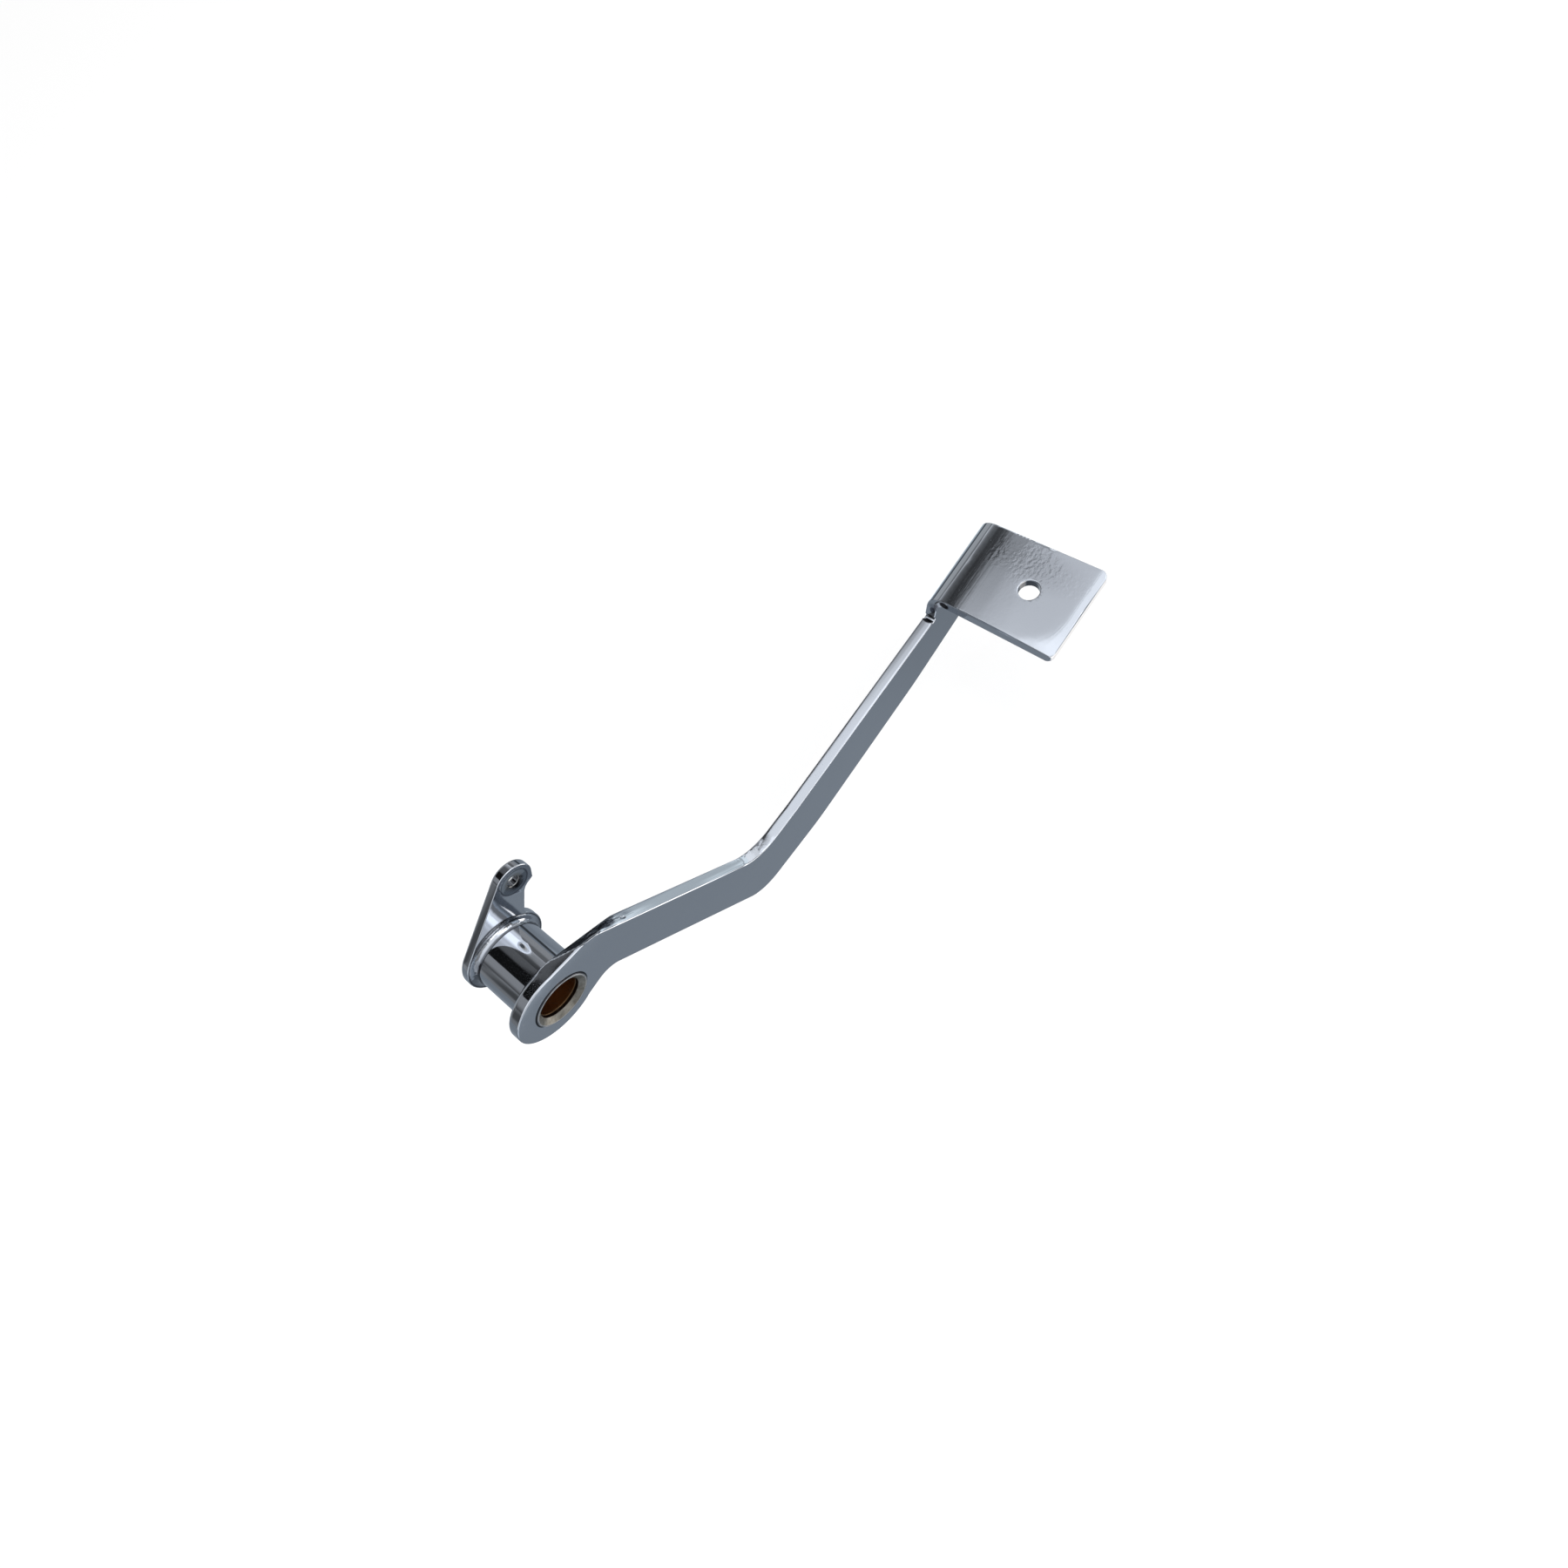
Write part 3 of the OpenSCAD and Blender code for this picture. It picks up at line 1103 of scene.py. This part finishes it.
@dataclass
class WeldBead:
    """A weld fillet round the pivot tube, made by one node tree with named sizes."""

    tube: float = 15.875 * MM
    leg: float = 3.2 * MM
    ripple: float = 0.012 * MM
    ripples: float = 29.0
    across: int = 12
    around: int = 257

    def tree(self, material: bpy.types.Material) -> bpy.types.NodeTree:
        """Builds the node tree.

        Args:
            material: the finish that the tree sets.
        Returns:
            The tree; its inputs are named after the bead's sizes.
        """
        tree = bpy.data.node_groups.new("weld_bead", "GeometryNodeTree")
        sockets = tree.interface
        sockets.new_socket("Bead", in_out="OUTPUT", socket_type="NodeSocketGeometry")
        sockets.new_socket("Geometry", in_out="INPUT", socket_type="NodeSocketGeometry")
        labels = ("Tube radius", "Leg", "Base", "Side", "Ripple", "Ripples")
        for label in labels:
            sockets.new_socket(label, in_out="INPUT", socket_type="NodeSocketFloat")
        g = Graph(tree)
        sizes = g.node("NodeGroupInput").socket.node.outputs
        tube, leg, base, side, ripple, ripples = (Val(g, sizes[label]) for label in labels)
        rows = self.across + 2
        lattice = {"Size X": 1.0, "Size Y": 1.0, "Vertices X": self.around, "Vertices Y": rows}
        grid = g.node("GeometryNodeMeshGrid", None, lattice)
        # The first rows are the bead's arc, the next is its hidden corner, and the last closes the loop.
        u, v, _ = g.axes(g.node("GeometryNodeInputPosition"))
        turn = (u + 0.5) * math.tau
        row = g.math("ROUND", (v + 0.5) * (rows - 1))
        open_row = 1 - row.above(self.across + 0.5)
        on_arc = 1 - row.above(self.across - 0.5) * open_row
        swing = row * open_row * (math.pi / 2 / (self.across - 1))
        wave = (turn * ripples).sin() * (swing * 2).sin() * ripple
        radius = tube + (leg * (1 - swing.sin()) + wave) * on_arc
        rise = (leg * (1 - swing.cos()) + wave) * on_arc
        place = {0: radius * turn.cos(), 1: base + side * rise, 2: radius * turn.sin()}
        point = g.node("ShaderNodeCombineXYZ", None, place)
        placed = g.node("GeometryNodeSetPosition", None, {"Geometry": grid, "Position": point})
        closed = g.node("GeometryNodeMergeByDistance", None, {"Geometry": placed, "Distance": 0.001 * MM})
        real = g.node("GeometryNodeRealizeInstances", None, {"Geometry": closed})
        dressed = g.node("GeometryNodeSetMaterial", None, {"Geometry": real, "Material": material})
        g.node("NodeGroupOutput", None, {0: dressed})
        return tree

    def bake(self, name: str, base: float, side: float, material: bpy.types.Material) -> bpy.types.Mesh:
        """Evaluates the tree into a plain mesh.

        Args:
            name: the mesh's name.
            base: y of the plate's face.
            side: 1 where the bead rises towards +Y, else -1.
            material: the bead's finish.
        Returns:
            The baked mesh.
        """
        holder = new_object(name + "_source", bpy.data.meshes.new(name + "_source"))
        modifier = holder.modifiers.new("bead", "NODES")
        modifier.node_group = self.tree(material)
        sizes = {
            "Tube radius": self.tube, "Leg": self.leg, "Base": base, "Side": side,
            "Ripple": self.ripple, "Ripples": self.ripples,
        }
        for item in modifier.node_group.interface.items_tree:
            if item.item_type == "SOCKET" and item.in_out == "INPUT" and item.name in sizes:
                modifier[item.identifier] = sizes[item.name]
        holder.update_tag()
        graph = bpy.context.evaluated_depsgraph_get()
        mesh = bpy.data.meshes.new_from_object(holder.evaluated_get(graph))
        mesh.name = name
        bpy.data.objects.remove(holder)
        bm = bmesh.new()
        bm.from_mesh(mesh)
        bmesh.ops.recalc_face_normals(bm, faces=bm.faces)
        bm.to_mesh(mesh)
        bm.free()
        return mesh


@dataclass
class PushRodLever:
    """The short lever on the tube's inboard end."""

    nodes: dict
    rim: float = 0.35 * MM
    far_rim: float = 1.1 * MM
    middle_y: float = 17.5 * MM

    def build(self) -> None:
        """Rounds the lever's edges and dresses it."""
        bm = merged_copy(self.nodes["push_rod_lever"])
        soften(bm, self.rim, 3, lambda e: e.verts[0].co.y < self.middle_y)
        soften(bm, self.far_rim, 4, lambda e: min(v.co.y for v in e.verts) > self.middle_y)
        mesh = plain_mesh(bm, "push_rod_lever_polished")
        chrome = LeverChrome("lever_chrome", rough=0.06, pits=0.5).make()
        finish_piece("push_rod_lever_polished", mesh, chrome, "push_rod_lever")


# Studio


class Side(Enum):
    """Where a studio card stands round the object."""

    OVERHEAD = "overhead"
    INBOARD = "inboard"
    REAR = "rear"
    FRONT = "front"
    OUTBOARD = "outboard"
    BELOW = "below"


@dataclass
class ReflectedRoom:
    """Six glowing cards round the object, in grey, white and black, which only glossy rays see."""

    rear: float = -1.6
    front: float = 2.0
    outboard: float = -1.6
    inboard: float = 1.6
    bottom: float = -0.21
    top: float = 1.0

    def build(self) -> None:
        """Puts up the cards."""
        r, f, o, i, b, t = self.rear, self.front, self.outboard, self.inboard, self.bottom, self.top
        cards = {
            Side.OVERHEAD: ([(r, o, t), (f, o, t), (f, i, t), (r, i, t)], self._overhead),
            Side.INBOARD: ([(r, i, b), (f, i, b), (f, i, t), (r, i, t)], self._inboard),
            Side.OUTBOARD: ([(r, o, b), (f, o, b), (f, o, t), (r, o, t)], self._outboard),
            Side.REAR: ([(r, o, b), (r, i, b), (r, i, t), (r, o, t)], self._rear),
            Side.FRONT: ([(f, o, b), (f, i, b), (f, i, t), (f, o, t)], self._front),
            Side.BELOW: ([(r, o, b), (f, o, b), (f, i, b), (r, i, b)], self._below),
        }
        for side, (corners, glow) in cards.items():
            name = "card_" + side.value
            card = new_sheet(name, corners, self._paint(name, glow))
            card.visible_camera = card.visible_diffuse = card.visible_shadow = False
            card.visible_transmission = card.visible_volume_scatter = False

    def _paint(self, name: str, glow: Callable[[Graph], Glow]) -> bpy.types.Material:
        """Makes a card's material.

        Args:
            name: the material's name.
            glow: gives the colour and the brightness over the card.
        Returns:
            An emissive material.
        """
        material, g = blank_material(name)
        colour, level = glow(g)
        shown = g.node("ShaderNodeVectorMath", {"operation": "SCALE"}, {0: colour, "Scale": level})
        shine = g.node("ShaderNodeEmission", None, {"Color": shown, "Strength": 1.0})
        g.node("ShaderNodeOutputMaterial", None, {"Surface": shine})
        return material

    def _overhead(self, g: Graph) -> Glow:
        """The ceiling: bright outboard of the pedal, near black inboard of it.

        Args:
            g: the card's tree.
        Returns:
            Colour and brightness.
        """
        x, y, _ = g.axes(g.place())
        forward = x.smooth(0.42, 0.78)
        bright = 1.22 - forward * 0.36 - forward * y.smooth(0.22, 0.33) * 0.32
        bright = bright - x.smooth(0.76, 0.86) * y.smooth(0.24, 0.34) * 0.10
        bright = bright + y.fall(0.03, 0.17) * x.smooth(0.35, 0.6) * 0.55
        seams = y.line(0.095, 0.004, 0.012) + y.line(0.045, 0.004, 0.012)
        bright = bright * (1 - seams * x.smooth(0.5, 0.7) * 0.35)
        dark = y.smooth(0.85, 1.40) * 0.38 + x.smooth(0.8, 1.3) * 0.2 + x.smooth(0.1, 0.4) * 0.022 + 0.008
        dark = dark + x.smooth(0.5, 0.7) * (y.smooth(0.5, 0.8) * 0.10 + 0.02)
        dark = dark + y.smooth(0.47, 0.53) * x.smooth(0.08, 0.22) * x.fall(0.56, 0.66) * 0.11
        dark = dark + x.smooth(0.92, 1.15) * y.fall(0.60, 0.74) * 0.9
        behind = x.fall(-0.50, -0.47)
        dark = dark * (1 - behind) + behind * (x.smooth(-1.55, -0.9) * 0.25 + 0.1)
        window = x.smooth(0.7, 1.1) * y.fall(-0.6, -0.3) * 1.6
        inboard = y.smooth(0.405 - forward * 0.015, forward * 0.08 + 0.43)
        return (0.95, 0.995, 1.06), bright * (1 - inboard) + dark * inboard + window

    def _inboard(self, g: Graph) -> Glow:
        """The inboard wall: grey, darker at its top.

        Args:
            g: the card's tree.
        Returns:
            Colour and brightness.
        """
        _, _, z = g.axes(g.place())
        return (0.95, 1.0, 1.05), 0.52 - z.smooth(0.6, 1.0) * 0.35

    def _outboard(self, g: Graph) -> Glow:
        """The outboard wall: bright forward and high, with a dark low corner far ahead.

        Args:
            g: the card's tree.
        Returns:
            Colour and brightness.
        """
        x, _, z = g.axes(g.place())
        level = z.smooth(-0.1, 0.2) * (x.smooth(-0.3, 0.05) * 1.6 + 0.05) + 0.4
        return (0.98, 1.0, 1.02), level * (1 - x.smooth(0.70, 0.80) * z.fall(0.45, 0.60) * 0.88)

    def _rear(self, g: Graph) -> Glow:
        """The rear wall: dark, with two dim uprights and a bright outboard half.

        Args:
            g: the card's tree.
        Returns:
            Colour and brightness.
        """
        _, y, z = g.axes(g.place())
        level = 0.25 - z.smooth(0.0, 0.3) * 0.16 + z.smooth(0.65, 0.9) * 0.08
        uprights = y.smooth(1.08, 1.14) * 0.10 + y.fall(0.96, 1.0) * y.smooth(0.84, 0.93) * 0.10
        return (0.95, 1.0, 1.06), level + uprights + y.fall(-0.2, 0.4) * 0.8

    def _front(self, g: Graph) -> Glow:
        """The front wall: a broad bright panel, and a brighter one high outboard.

        Args:
            g: the card's tree.
        Returns:
            Colour and brightness.
        """
        _, y, z = g.axes(g.place())
        level = y.fall(0.74, 0.86) * y.smooth(-0.6, -0.1) * 0.95 + 0.38 - z.smooth(0.3, 0.6) * 0.2
        return (0.96, 1.0, 1.05), level + y.fall(-0.7, -0.2) * z.smooth(0.3, 0.7) * 1.7

    def _below(self, g: Graph) -> Glow:
        """The floor as the metal mirrors it: dim, with pale strips and one black gap.

        Args:
            g: the card's tree.
        Returns:
            Colour and brightness.
        """
        x, y, _ = g.axes(g.place())
        along = x * 0.845 + y * 0.534
        inner = y - x * 0.36
        strip = self._strip(g, x, y, along, inner)
        level = 0.315 - x.fall(-0.45, -0.15) * 0.07 + y.smooth(0.02, 0.2) * 0.04
        level = level - x.smooth(0.18, 0.32) * 0.05 + strip
        gap = x.line(0.06, 0.12, 0.22) * y.smooth(0.20, 0.28)
        beyond = along.smooth(0.60, 0.655) * inner.smooth(0.015, 0.035) * along.fall(1.0, 1.3)
        level = level * (1 - gap * 0.93) * (1 - beyond * 0.8)
        clear = 1 - x.smooth(0.38, 0.46) * y.fall(-0.25, -0.18)
        edge = y + 0.145 - x.smooth(0.2, 0.3) * 0.075
        warm = edge.fall(-0.04, 0.0) * x.smooth(-0.3, 0.0) * y.smooth(-0.6, -0.35) * clear
        glint = y.smooth(-0.50, -0.38) * y.fall(-0.17, -0.13) * clear
        glint = glint * (x.smooth(-0.9, -0.7) * 0.45 + x.smooth(-0.1, 0.15) * 1.05)
        level = level + warm * 0.95 + glint + y.fall(-0.7, -0.3) * 0.4
        colour = g.mix(strip.smooth(0.0, 0.5), (0.87, 1.0, 1.15), (0.885, 1.0, 1.07))
        return g.mix(warm, colour, (1.03, 1.0, 0.97)), level

    def _strip(self, g: Graph, x: Val, y: Val, along: Val, inner: Val) -> Val:
        """The pale strip on the floor that the leg and the reach mirror.

        Args:
            g: the card's tree.
            x: place along X.
            y: place along Y.
            along: place along the strip.
            inner: distance inboard of the strip's far end.
        Returns:
            The strip's brightness.
        """
        aside = x * -0.534 + y * 0.845 + 0.0943
        strip = aside.fall(0.01, 0.075) * aside.smooth(-0.19, -0.13) * y.smooth(-0.035, -0.01)
        strip = strip * along.smooth(0.20, 0.28) * along.fall(0.575, 0.64)
        hub_part = aside.smooth(-0.05, -0.01) * 0.76 + 0.44
        leg_part = aside.fall(-0.075, -0.030) * along.fall(0.38, 0.44) * 0.5 + 0.41
        leg = along.smooth(0.305, 0.345)
        far = along.smooth(0.5, 0.65) * inner.fall(0.0, 0.06) * y.smooth(-0.035, 0.0) * 0.95
        return g.math("MAXIMUM", strip * (hub_part * (1 - leg) + leg_part * leg), far)


@dataclass
class Studio:
    """World, floor, light, reflected cards and camera."""

    floor_z: float = -0.22
    floor_half: float = 6.0
    lamp_at: Point = (0.1, -0.6, 1.5)
    lamp_aim: Point = (0.1, 0.0, 0.0)
    lamp_size: float = 1.6
    lamp_energy: float = 9.0
    lens: float = 20.0
    sensor: float = 36.0
    eye: Point = (0.095983, -0.175143, 0.334416)
    eye_right: Point = (0.57499, -0.77794, -0.25336)
    eye_up: Point = (0.81418, 0.51356, 0.27087)
    eye_back: Point = (-0.0806, -0.36203, 0.92868)

    def build(self) -> None:
        """Sets up the whole stage."""
        self._world()
        self._floor()
        self._lamp()
        ReflectedRoom().build()
        self._camera()

    def _world(self) -> None:
        """A white world at strength 1."""
        world = bpy.data.worlds.new("studio")
        bpy.context.scene.world = world
        world.use_nodes = True
        shade = world.node_tree.nodes["Background"]
        shade.inputs["Color"].default_value = (1.0, 1.0, 1.0, 1.0)
        shade.inputs["Strength"].default_value = 1.0

    def _floor(self) -> None:
        """A plain pale floor under the object."""
        s, z = self.floor_half, self.floor_z
        pale = {"Base Color": (0.93, 0.93, 0.93, 1.0), "Roughness": 0.9, "Specular IOR Level": 0.0}
        corners = [(-s, -s, z), (s, -s, z), (s, s, z), (-s, s, z)]
        floor = new_sheet("floor", corners, surface("floor", lambda g: pale))

    def _lamp(self) -> None:
        """One broad soft lamp above, which glossy rays don't see."""
        data = bpy.data.lights.new("softbox", "AREA")
        data.shape = "SQUARE"
        data.size = self.lamp_size
        data.energy = self.lamp_energy
        lamp = new_object("softbox", data)
        lamp.location = self.lamp_at
        aim = Vector(self.lamp_aim) - Vector(self.lamp_at)
        lamp.rotation_euler = aim.to_track_quat("-Z", "Y").to_euler()
        lamp.visible_glossy = False

    def _camera(self) -> None:
        """The camera at the photograph's viewpoint."""
        data = bpy.data.cameras.new("camera")
        data.sensor_width = self.sensor
        data.lens = self.lens
        data.clip_start = 10 * MM
        camera = new_object("camera", data)
        turn = Matrix((self.eye_right, self.eye_up, self.eye_back)).transposed().to_4x4()
        camera.matrix_world = Matrix.Translation(self.eye) @ turn
        bpy.context.scene.camera = camera


def main() -> None:
    """Builds the pedal and its studio."""
    logging.basicConfig(level=logging.INFO, format="%(name)s %(message)s")
    bpy.context.scene.view_settings.view_transform = "Standard"
    nodes = frame["nodes"]
    PedalArm(nodes).build()
    Hub(nodes).build()
    PushRodLever(nodes).build()
    Studio().build()


if __name__ == "__main__":
    main()
